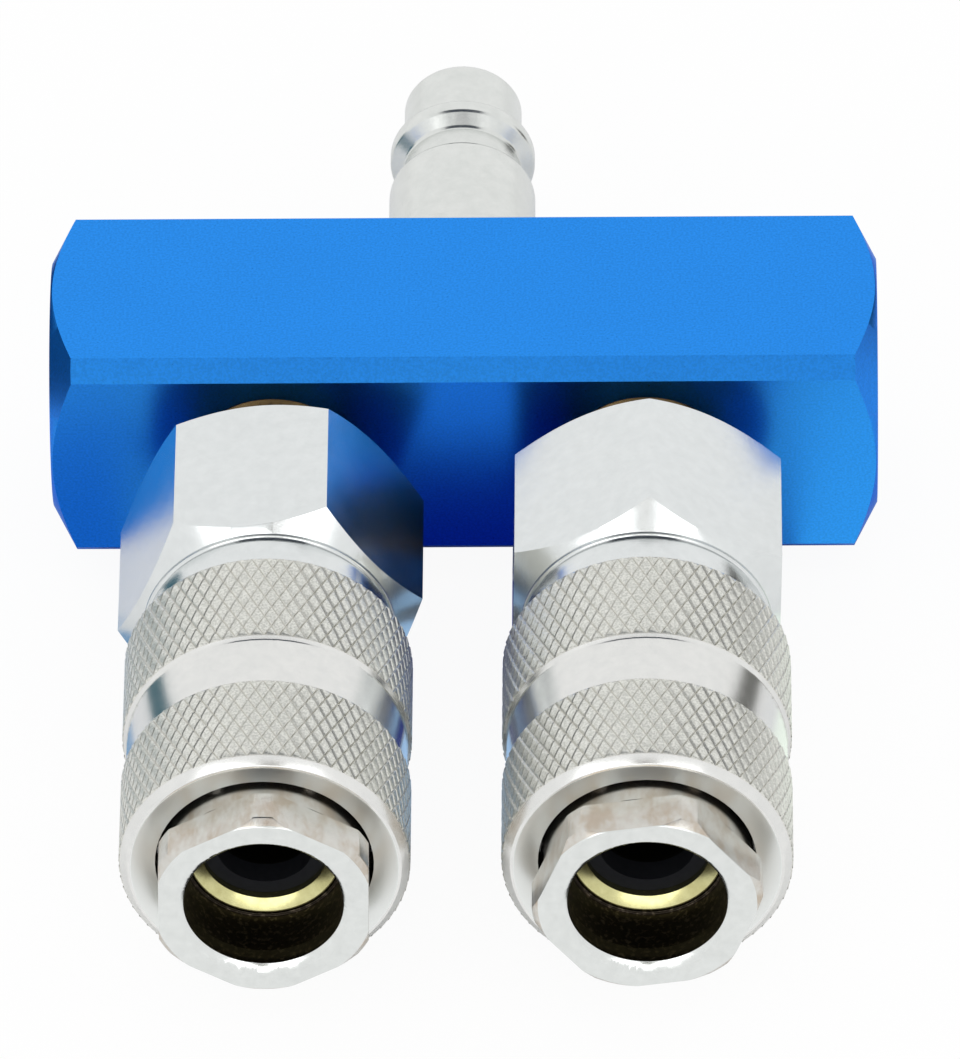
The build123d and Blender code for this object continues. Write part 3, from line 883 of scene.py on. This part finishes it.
class DISTRIBUTOR_OT_bodies(PairOperator, bpy.types.Operator):
    """Model the two coupler bodies with their noses, mouths and ball pockets"""
    bl_idname = "distributor.bodies"
    bl_label = "Coupler bodies"
    size_group = "body_sizes"

    def model(self, sizes, side):
        """One coupler body, its nose turned by its side's own angle."""
        rear, front = forward(f"{side}_coupler_body")
        nose_rear = front - sizes.nose_length
        tube, mouth, guide, chamber = (
            diameter / 2 for diameter in (sizes.diameter, sizes.mouth, sizes.guide, sizes.chamber))
        valve_rear, valve_front = forward(f"{side}_valve")
        past_bush, past_flange = 0.1 * MM, 1.05 * MM
        guide_end, chamber_end = valve_front + past_bush, valve_rear + past_flange
        corners, chamfer = sizes.nose_corners / 2, sizes.nose_chamfer
        turn = sizes.left_turn if side == "left" else sizes.right_turn

        nose = hexagon("nose", sizes.nose_hexagon, nose_rear, front, turn)
        combine(nose, turned("nose_corners", rounded([
            (0, nose_rear), (corners, nose_rear), (corners, front - chamfer), (corners - chamfer, front),
            (0, front)], radius=0.08 * MM), steps=144), "INTERSECT")
        soften(nose, width=0.1 * MM)
        nose_wall, in_nose = front - 2 * MM, mouth + PAST
        combine(nose, turned("nose_bore", [
            (0, nose_rear - PAST), (in_nose, nose_rear - PAST), (in_nose, nose_wall), (mouth, nose_wall),
            (mouth, front - sizes.mouth_chamfer), (mouth + sizes.mouth_chamfer + PAST, front + PAST),
            (0, front + PAST)], steps=144), "DIFFERENCE")
        ball_rear, ball_front = forward(f"{side}_ball_1")
        station, reach, beside = (ball_rear + ball_front) / 2, sizes.pocket / 2, 0.3 * MM
        pocket_rear, pocket_front = station - reach - beside, station + reach + beside
        tube_front, tip, behind_nose, step = front - 1.5 * MM, mouth + 0.5 * MM, 0.2 * MM, 0.5 * MM
        relief, relief_rear, relief_front = mouth + 0.02 * MM, front - 2.3 * MM, front - 2.1 * MM
        body = turned(f"{side}_coupler_tube", rounded([
            (tip, tube_front), (tube, nose_rear + PAST), (tube, nose_rear - behind_nose),
            (tube, pocket_front), (tube, pocket_rear), (tube, rear), (chamber, rear),
            (chamber, chamber_end), (guide + step, chamber_end), (guide, chamber_end + step),
            (guide, pocket_rear), (guide, guide_end), (mouth, guide_end), (mouth, pocket_front),
            (mouth, relief_rear), (relief, relief_front), (relief, tube_front), (tip, tube_front)],
            radius=0.04 * MM), steps=144)
        combine(body, nose, "UNION")
        lip, lip_height = reach - 0.25 * MM, 0.4 * MM
        for index in range(sizes.balls):
            pocket = turned("pocket", [
                (0, guide - PAST), (lip, guide - PAST), (lip, guide), (reach, guide + lip_height),
                (reach, tube + PAST), (0, tube + PAST)], steps=32)
            combine(body, point_outward(pocket, station, index, sizes.balls), "DIFFERENCE")
        put_on_coupler(body, side)
        shade(body)
        finish_piece(body, "distributor", "nickel_body", nickel_body(side, sizes), f"{side}_coupler_body")


class DISTRIBUTOR_OT_valves(PairOperator, bpy.types.Operator):
    """Model the two brass valve bushes behind the mouths"""
    bl_idname = "distributor.valves"
    bl_label = "Valve bushes"
    size_group = "valve_sizes"

    def model(self, sizes, side):
        """One valve bush."""
        rear, front = forward(f"{side}_valve")
        seal_rear, seal_front = forward(f"{side}_valve_seal")
        tip_rear, tip_front = forward(f"{side}_tip_seal")
        flange, flange_end = radius_of(f"{side}_valve"), rear + 1 * MM
        bush, mouth, bore, port = (
            diameter / 2 for diameter in (sizes.diameter, sizes.mouth, sizes.bore, sizes.side_port))
        seal_groove, tip_groove, rim, beside = bush - 1 * MM, mouth + 0.4 * MM, 0.14 * MM, 0.6 * MM
        piece = turned(f"{side}_valve_bush", rounded([
            (0, rear), (flange, rear), (flange, flange_end), (bush, flange_end), (bush, seal_rear),
            (seal_groove, seal_rear), (seal_groove, seal_front), (bush, seal_front), (bush, front),
            (bush - rim, front), (mouth, front - sizes.mouth_depth), (mouth, tip_front),
            (tip_groove, tip_front), (tip_groove, tip_rear), (bore, tip_rear),
            (bore, seal_front), (0, seal_front)], radius=0.05 * MM), steps=112)
        for index in range(sizes.side_ports):
            hole = turned("side_port", [
                (0, PAST), (port, PAST), (port, bush + PAST), (0, bush + PAST)], steps=32)
            hole = point_outward(hole, seal_front + beside + port, index, sizes.side_ports)
            combine(piece, hole, "DIFFERENCE")
        put_on_coupler(piece, side)
        shade(piece)
        finish_piece(piece, f"{side}_valve", "turned_brass", turned_brass(side, sizes), f"{side}_valve")


class DISTRIBUTOR_OT_sleeves(PairOperator, bpy.types.Operator):
    """Model the two locking sleeves with their knurled bands"""
    bl_idname = "distributor.sleeves"
    bl_label = "Knurled sleeves"
    size_group = "sleeve_sizes"

    def model(self, sizes, side):
        """One sleeve: the turned form, then the knurl cut into both bands."""
        rear, front = forward(f"{side}_sleeve")
        top = radius_of(f"{side}_sleeve")
        length, root = front - rear, top - sizes.knurl_depth
        waist = top - sizes.waist_depth
        hole, bore, land, groove = (
            diameter / 2 for diameter in (sizes.hole, sizes.bore, sizes.land, sizes.ball_groove))
        rear_knurl = [sizes.rear_chamfer - sizes.knurl_depth, sizes.rear_band + sizes.knurl_depth]
        waist_end = sizes.rear_band + sizes.waist_width
        lip_end = length - sizes.dish_depth - sizes.lip
        front_knurl = [waist_end - sizes.knurl_depth, length - sizes.front_chamfer + sizes.knurl_depth]

        def rows(ends):
            """The points along a band where its rows of diamonds meet."""
            return [
                (root, ends[0] + (ends[1] - ends[0]) * row / sizes.knurl_rows)
                for row in range(sizes.knurl_rows + 1)]

        stations = rounded([
            (bore, 0), (top - sizes.rear_chamfer, 0), rows(rear_knurl)[0]], radius=0.06 * MM)
        stations += rows(rear_knurl)[1:]
        stations += rounded([
            rows(rear_knurl)[-1], (waist, sizes.rear_band + sizes.waist_depth),
            (waist, waist_end - sizes.waist_depth), rows(front_knurl)[0]], radius=0.08 * MM)[1:]
        stations += rows(front_knurl)[1:]
        stations += rounded([
            rows(front_knurl)[-1], (top - sizes.front_chamfer, length), (hole + sizes.dish_width, length),
            (hole, length - sizes.dish_depth), (hole, lip_end), (groove, lip_end - groove + hole),
            (groove, length - sizes.ramp_front), (land, length - sizes.ramp_rear),
            (land, length - sizes.land_rear), (bore, length - sizes.land_rear), (bore, 0)],
            radius=0.06 * MM)[1:]
        sleeve = turned(f"{side}_knurled_sleeve", stations, steps=sizes.knurl_columns)
        self.knurl(sleeve, sizes, root, (rear_knurl, front_knurl))
        sleeve.matrix_world = Matrix.Translation((0, 0, rear))
        apply_place(sleeve)
        put_on_coupler(sleeve, side)
        smooth(sleeve, crisp_angle=math.radians(24))
        finish_piece(sleeve, f"{side}_sleeve", "nickel_sleeve", nickel_sleeve(side, sizes), f"{side}_sleeve")

    def knurl(self, sleeve, sizes, root, bands):
        """Diamonds over the bands: each square of the grid is crossed and its sides dissolved."""
        slack, steepest = 0.02 * MM, 0.05

        def on_band(face):
            """Whether a face lies upright on one of the bands."""
            centre = face.calc_center_median()
            in_band = any(start - slack < centre.z < end + slack for start, end in bands)
            return in_band and abs(face.normal.z) < steepest and centre.xy.length > root - 3 * slack

        def between_squares(edge):
            """Whether an edge runs along or round the band, between two of its squares."""
            start, end = (vert.co for vert in edge.verts)
            straight = abs(start.z - end.z) < slack or (start.xy - end.xy).length < slack
            return straight and len(edge.link_faces) == 2 and all(on_band(face) for face in edge.link_faces)

        to_edit_mode(sleeve)
        pick("faces", on_band)
        bpy.ops.mesh.poke()
        bpy.ops.mesh.select_all(action="DESELECT")
        pick("edges", between_squares)
        bpy.ops.mesh.dissolve_edges(use_verts=False)
        bpy.ops.mesh.select_all(action="DESELECT")
        pick("faces", on_band)
        flank, crown = 0.8, 0.2
        bpy.ops.mesh.inset(
            thickness=sizes.knurl_groove * flank, depth=sizes.knurl_depth * flank, use_individual=True)
        bpy.ops.mesh.inset(
            thickness=sizes.knurl_groove * crown * 2, depth=sizes.knurl_depth * crown, use_individual=True)
        self.narrow_one_way(sleeve, sizes, top=root + sizes.knurl_depth)
        to_object_mode()

    def narrow_one_way(self, sleeve, sizes, top):
        """Slide the diamonds' crowns along one set of grooves, so that the other set gets narrower."""
        mesh = bmesh.from_edit_mesh(sleeve.data)
        crowns = [face for face in mesh.faces if face.select]
        lengthwise = 2.5
        turn, slide = sizes.knurl_skew / top, sizes.knurl_skew * lengthwise
        for way in (1, -1):
            ends = set()
            for face in crowns:
                centre = face.calc_center_median()
                for vert in face.verts:
                    along = vert.co.z - centre.z
                    across = centre.x * vert.co.y - centre.y * vert.co.x
                    if way * (along / slide - across / (top * sizes.knurl_skew)) > 0:
                        ends.add(vert.index)
            bpy.ops.mesh.select_all(action="DESELECT")
            pick("verts", lambda vert: vert.index in ends)
            bpy.ops.transform.rotate(value=way * turn, orient_axis="Z", center_override=(0, 0, 0))
            bpy.ops.transform.translate(value=(0, 0, way * slide))


class DISTRIBUTOR_OT_inner_pieces(bpy.types.Operator):
    """Finish the springs, balls, washers and seals, whose solids already have their real shape"""
    bl_idname = "distributor.inner_pieces"
    bl_label = "Inner pieces"

    def execute(self, context):
        sizes = context.scene.body_sizes
        rubber = black_rubber()
        spring = plain_steel("spring_steel", (0.5, 0.5, 0.52), roughness=0.3)
        ball = plain_steel("ball_steel", (0.72, 0.72, 0.74), roughness=0.1)
        for side in SIDES:
            for seal in ("body_seal", "tip_seal", "valve_seal"):
                finish_node(f"{side}_{seal}", rubber)
            for part in ("sleeve_spring", "valve_spring", "spring_washer"):
                finish_node(f"{side}_{part}", spring)
            for index in range(sizes.balls):
                finish_node(f"{side}_ball_{index + 1}", ball)
            self.close_spring(f"{side}_valve_spring", f"{side}_valve_slide", "y_max", sizes.valve_travel)
            self.close_spring(f"{side}_sleeve_spring", f"{side}_sleeve_slide", "y_min", sizes.sleeve_travel)
        return {"FINISHED"}

    def close_spring(self, node, joint, seat, travel):
        """Give a spring's solid a mesh of its own."""
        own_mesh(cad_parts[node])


# Floor, light and camera

def even_glow(name, colour):
    """A material that only glows, in one colour."""
    return Finish(
        name, base_color=(0, 0, 0, 1), specular_ior_level=0, roughness=1, emission_color=(*colour, 1),
        emission_strength=1.0).material


def card(name, centre, look_at, width, height, colour):
    """A glowing card that only the metal's reflections see."""
    bpy.ops.object.select_all(action="DESELECT")
    bpy.ops.mesh.primitive_grid_add(x_subdivisions=2, y_subdivisions=2, size=1)
    piece = bpy.context.object
    piece.name = name
    aim = (look_at - centre).to_track_quat("Z", "Y")
    piece.matrix_world = Matrix.LocRotScale(centre, aim, Vector((width, height, 1)))
    apply_place(piece)
    piece.data.materials.append(even_glow(name, colour))
    for ray in ("camera", "diffuse", "shadow", "transmission"):
        setattr(piece, f"visible_{ray}", False)
    piece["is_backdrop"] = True


class DISTRIBUTOR_OT_stage(bpy.types.Operator):
    """Set the floor, the soft light and the camera round the finished object"""
    bl_idname = "distributor.stage"
    bl_label = "Stage"

    def execute(self, context):
        sizes = context.scene.stage_sizes
        self.floor(sizes)
        self.world(sizes)
        self.lamp(sizes)
        self.cards()
        self.camera(context)
        context.scene.view_settings.view_transform = "Standard"
        return {"FINISHED"}

    def floor(self, sizes):
        """A wide floor that touches the lowest point of the object."""
        bpy.ops.object.select_all(action="DESELECT")
        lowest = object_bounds()[0][2]
        bpy.ops.mesh.primitive_grid_add(x_subdivisions=8, y_subdivisions=8, size=3, location=(0, 0, lowest))
        floor = apply_place(bpy.context.object)
        floor.name = "floor"
        floor.data.materials.append(backdrop_paint(list(sizes.backdrop), sizes.whiteness))
        floor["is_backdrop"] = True

    def world(self, sizes):
        """Even white light from all round, at full strength where it is seen or mirrored."""
        world = bpy.data.worlds.new("soft_light")
        bpy.context.scene.world = world
        world.use_nodes = True
        tree = world.node_tree
        background = tree.nodes["Background"]
        path = tree.nodes.new("ShaderNodeLightPath")
        seen = tree.nodes.new("ShaderNodeMath")
        seen.operation = "MAXIMUM"
        tree.links.new(path.outputs["Is Camera Ray"], seen.inputs[0])
        tree.links.new(path.outputs["Is Glossy Ray"], seen.inputs[1])
        strength = tree.nodes.new("ShaderNodeMix")
        strength.inputs[2].default_value = sizes.world_light
        strength.inputs[3].default_value = 1.0
        tree.links.new(seen.outputs[0], strength.inputs[0])
        tree.links.new(strength.outputs[0], background.inputs["Strength"])
        background.inputs["Color"].default_value = (1, 1, 1, 1)

    def lamp(self, sizes):
        """One wide soft lamp, in front and above."""
        light = bpy.data.lights.new("front_lamp", "AREA")
        light.shape = "RECTANGLE"
        light.size, light.size_y = 0.6, 0.16
        light.energy = sizes.key_light
        lamp = bpy.data.objects.new("front_lamp", light)
        bpy.context.scene.collection.objects.link(lamp)
        centre = Vector((-0.03, -0.43, 0.25))
        lamp.matrix_world = Matrix.LocRotScale(centre, (-centre).to_track_quat("-Z", "Y"), None)

    def cards(self):
        """Dark, tinted and white cards that give the bright metal something to mirror; those laid on the
        floor are painted shadow and painted light in the floor's reflection.
        """
        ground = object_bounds()[0][2] + 0.3 * MM
        # Painted shadow and painted light, seen only in reflections: the dark navy cards between the couplers
        # and at the left stand for the floor's shade, and the light blue and white glowing cards lift the
        # shaded floor between the couplers and at the right.
        self.lay("gap_card", (1.5, -18.5), (15, 16), ground, (0.01, 0.018, 0.2))
        self.lay("gap_glow", (1.5, -34), (15, 13), ground, (0.4, 0.62, 0.92))
        self.lay("left_floor_card", (-32, -21), (9, 20), ground, (0.2, 0.37, 0.6))
        self.lay("right_floor_card", (34, -24), (15, 28), ground, (1, 1.1, 1))
        self.lay("front_floor_card", (0, -100), (120, 80), ground, (1, 1, 1))
        self.stand("overhead_card", (0, -55, 300), (0, -55, 0), (300, 310), (0.06, 0.07, 0.09))
        self.stand("lens_card", (8, -387, 296), (0, -15, 10), (110, 70), (0.09, 0.07, 0.045))
        self.stand("left_wall", (-60, 10, 8), (-8, -36, 8), (52, 18), (0.03, 0.12, 0.16))
        self.stand("right_wall", (97, 42, 14), (15, -36, 14), (70, 30), (0.09, 0.09, 0.08))

    def lay(self, name, centre, size, height, colour):
        """A card that lies a little above the floor, its place and size in millimetres."""
        low = Vector((*(value * MM for value in centre), height))
        card(name, low, low + Vector((0, 0, 1)), size[0] * MM, size[1] * MM, colour)

    def stand(self, name, centre, look_at, size, colour):
        """A card that faces a point, its place and size in millimetres."""
        card(name, Vector(centre) * MM, Vector(look_at) * MM, size[0] * MM, size[1] * MM, colour)

    def camera(self, context):
        """The photograph's own view: a long lens, a little above forty degrees, turned a little."""
        elevation, azimuth, roll = math.radians(41.02), math.radians(0.898), math.radians(0.883)
        distance, pixels_per_metre, longest_side = 1336.5 * MM, 12631, 1059
        target = Vector((0, -15, 10)) * MM
        offset_right, offset_up = 1.2826 * MM, -1.900 * MM
        across = Vector((math.cos(azimuth), math.sin(azimuth), 0))
        back = Vector((
            math.sin(azimuth) * math.cos(elevation), -math.cos(azimuth) * math.cos(elevation),
            math.sin(elevation)))
        up = back.cross(across)
        right = across * math.cos(roll) - up * math.sin(roll)
        rolled_up = across * math.sin(roll) + up * math.cos(roll)
        place = target + right * offset_right + rolled_up * offset_up + back * distance
        lens = bpy.data.cameras.new("photograph")
        lens.sensor_width = 36
        lens.lens = pixels_per_metre * distance * lens.sensor_width / longest_side
        lens.clip_end = 10
        camera = bpy.data.objects.new("camera", lens)
        bpy.context.scene.collection.objects.link(camera)
        turn = Matrix((right, rolled_up, back)).transposed().to_4x4()
        camera.matrix_world = Matrix.Translation(place) @ turn
        context.scene.camera = camera


class DISTRIBUTOR_PT_panel(bpy.types.Panel):
    """The distributor's pieces, in the order in which they are made"""
    bl_idname = "DISTRIBUTOR_PT_panel"
    bl_label = "Air distributor"
    bl_space_type = "VIEW_3D"
    bl_region_type = "UI"
    bl_category = "Distributor"

    def draw(self, context):
        for group in SIZE_GROUPS:
            box = self.layout.box()
            for name in getattr(context.scene, group).bl_rna.properties.keys():
                if name not in ("rna_type", "name"):
                    box.prop(getattr(context.scene, group), name)
        for operator in OPERATORS:
            self.layout.operator(operator.bl_idname)


SIZE_GROUPS = {
    "bar_sizes": BarSizes,
    "plug_sizes": PlugSizes,
    "adapter_sizes": AdapterSizes,
    "body_sizes": BodySizes,
    "valve_sizes": ValveSizes,
    "sleeve_sizes": SleeveSizes,
    "stage_sizes": StageSizes,
}

OPERATORS = (
    DISTRIBUTOR_OT_bar, DISTRIBUTOR_OT_gallery_plug, DISTRIBUTOR_OT_inlet_plug, DISTRIBUTOR_OT_adapters,
    DISTRIBUTOR_OT_bodies, DISTRIBUTOR_OT_valves, DISTRIBUTOR_OT_sleeves, DISTRIBUTOR_OT_inner_pieces,
    DISTRIBUTOR_OT_stage)


def register():
    for name, group in SIZE_GROUPS.items():
        bpy.utils.register_class(group)
        setattr(bpy.types.Scene, name, bpy.props.PointerProperty(type=group))
    for operator in OPERATORS:
        bpy.utils.register_class(operator)
    bpy.utils.register_class(DISTRIBUTOR_PT_panel)


def unregister():
    bpy.utils.unregister_class(DISTRIBUTOR_PT_panel)
    for operator in reversed(OPERATORS):
        bpy.utils.unregister_class(operator)
    for name, group in SIZE_GROUPS.items():
        delattr(bpy.types.Scene, name)
        bpy.utils.unregister_class(group)


def main():
    """Make every piece."""
    register()
    for operator in OPERATORS:
        group, name = operator.bl_idname.split(".")
        getattr(getattr(bpy.ops, group), name)()


if __name__ == "__main__":
    main()
